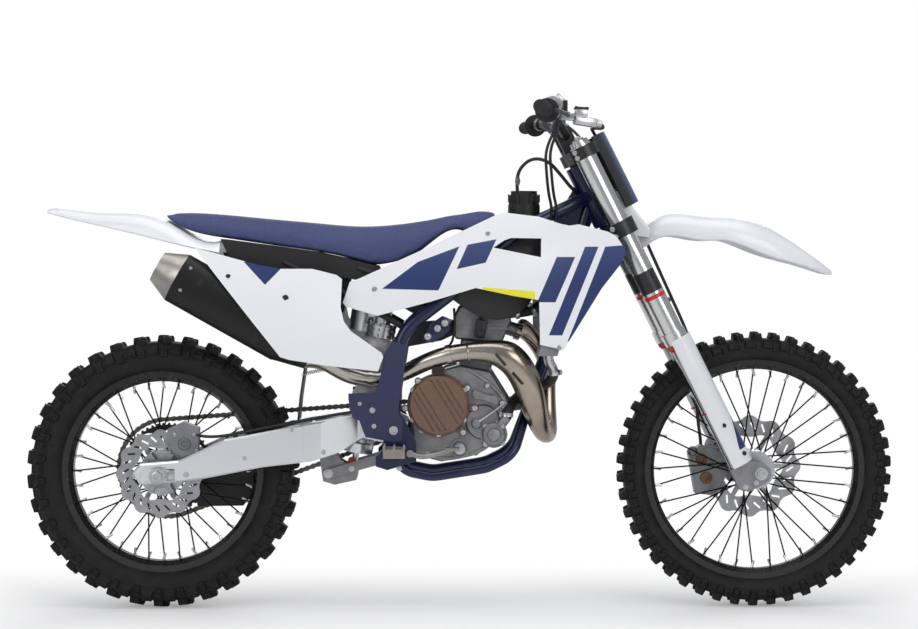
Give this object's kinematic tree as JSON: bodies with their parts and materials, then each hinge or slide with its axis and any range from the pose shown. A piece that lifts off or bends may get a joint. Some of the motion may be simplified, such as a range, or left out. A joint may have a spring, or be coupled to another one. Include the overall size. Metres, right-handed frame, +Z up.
{
  "type": "motocross bike",
  "caption": "Off-road racing motorcycle with telescopic fork, long flat seat, laced wheels, low looping exhaust and chain drive; wheels turn and the fork steers.",
  "frame": {"origin": "top of the seat where the rider sits, on the bike's centre plane", "axes": "+X forward, +Y to the rider's left, +Z up"},
  "size_m": [2.172, 0.8218, 1.2559],
  "materials": {
    "tyre_black": "matt rubber",
    "rim_black": "black anodised",
    "hub_silver": "machined",
    "disc_steel": "brushed",
    "black_steel": "black",
    "axle_steel": "turned",
    "chain_steel": "oiled",
    "fork_aluminium": "polished",
    "fork_chrome": "chromed",
    "white_plastic": "gloss",
    "navy_paint": "gloss",
    "navy_plastic": "textured",
    "black_metal": "satin",
    "black_plastic": "moulded",
    "grip_rubber": "soft",
    "pad_foam": "padded cover",
    "seat_cover": "grip cover over foam",
    "arm_aluminium": "brushed",
    "engine_cast": "cast",
    "bronze_cast": "bronze brown",
    "pipe_steel": "polished stainless",
    "silencer_dark": "dark satin",
    "cap_titanium": "blasted titanium",
    "hose_rubber": "hose",
    "spring_blue": "powder coated"
  },
  "bodies": {
    "frame": {"rear_axle": "axle_steel", "chain": "chain_steel", "rear_fender": "white_plastic", "main_frame": "navy_paint", "swingarm": "arm_aluminium", "pivot_bolt": "axle_steel", "crankcase": "engine_cast", "clutch_cover": "bronze_cast", "ignition_cover": "bronze_cast", "cylinder": "engine_cast", "exhaust_header": "pipe_steel", "silencer": "silencer_dark", "silencer_cap": "cap_titanium", "shroud_right": "white_plastic", "shroud_left": "white_plastic", "side_panels": "white_plastic", "seat": "seat_cover", "fuel_tank": "black_plastic", "filler_cap": "black_plastic", "radiators": "engine_cast", "coolant_hoses": "hose_rubber", "subframe": "black_plastic", "shock": "arm_aluminium", "shock_spring": "spring_blue", "shock_linkage": "engine_cast", "frame_guards": "navy_plastic", "mud_flap": "black_plastic", "chain_guide": "black_plastic", "front_sprocket": "black_steel", "footpegs": "axle_steel", "foot_controls": "arm_aluminium", "rear_caliper": "engine_cast", "engine_covers": "engine_cast", "intake": "black_plastic"},
    "steering": {"front_axle": "axle_steel", "fork_outer_tubes": "fork_aluminium", "fork_inner_tubes": "fork_chrome", "fork_axle_lugs": "engine_cast", "fork_guards": "white_plastic", "upper_clamp": "black_metal", "lower_clamp": "black_metal", "handlebar": "black_metal", "grips": "grip_rubber", "throttle_housing": "arm_aluminium", "hand_levers": "black_metal", "bar_pad": "pad_foam", "front_plate": "navy_plastic", "front_fender": "white_plastic", "front_caliper": "engine_cast"},
    "front_wheel": {"front_tyre": "tyre_black", "front_rim": "rim_black", "front_hub": "hub_silver", "front_disc": "disc_steel"},
    "rear_wheel": {"rear_tyre": "tyre_black", "rear_rim": "rim_black", "rear_hub": "hub_silver", "rear_disc": "disc_steel", "rear_sprocket": "black_steel"}
  },
  "joints": [
    {"name": "steering_turn", "type": "hinge", "parent": "frame", "child": "steering", "pos_m": [0.59825, 0, 0.07913], "axis": [-0.4462, 0, 0.8949], "range_deg": [-42, 42]},
    {"name": "front_wheel_spin", "type": "hinge", "parent": "steering", "child": "front_wheel", "pos_m": [1.0098, 0, -0.6096], "axis": [0, 1, 0], "continuous": true},
    {"name": "rear_wheel_spin", "type": "hinge", "parent": "frame", "child": "rear_wheel", "pos_m": [-0.4752, 0, -0.6136], "axis": [0, 1, 0], "continuous": true}
  ]
}
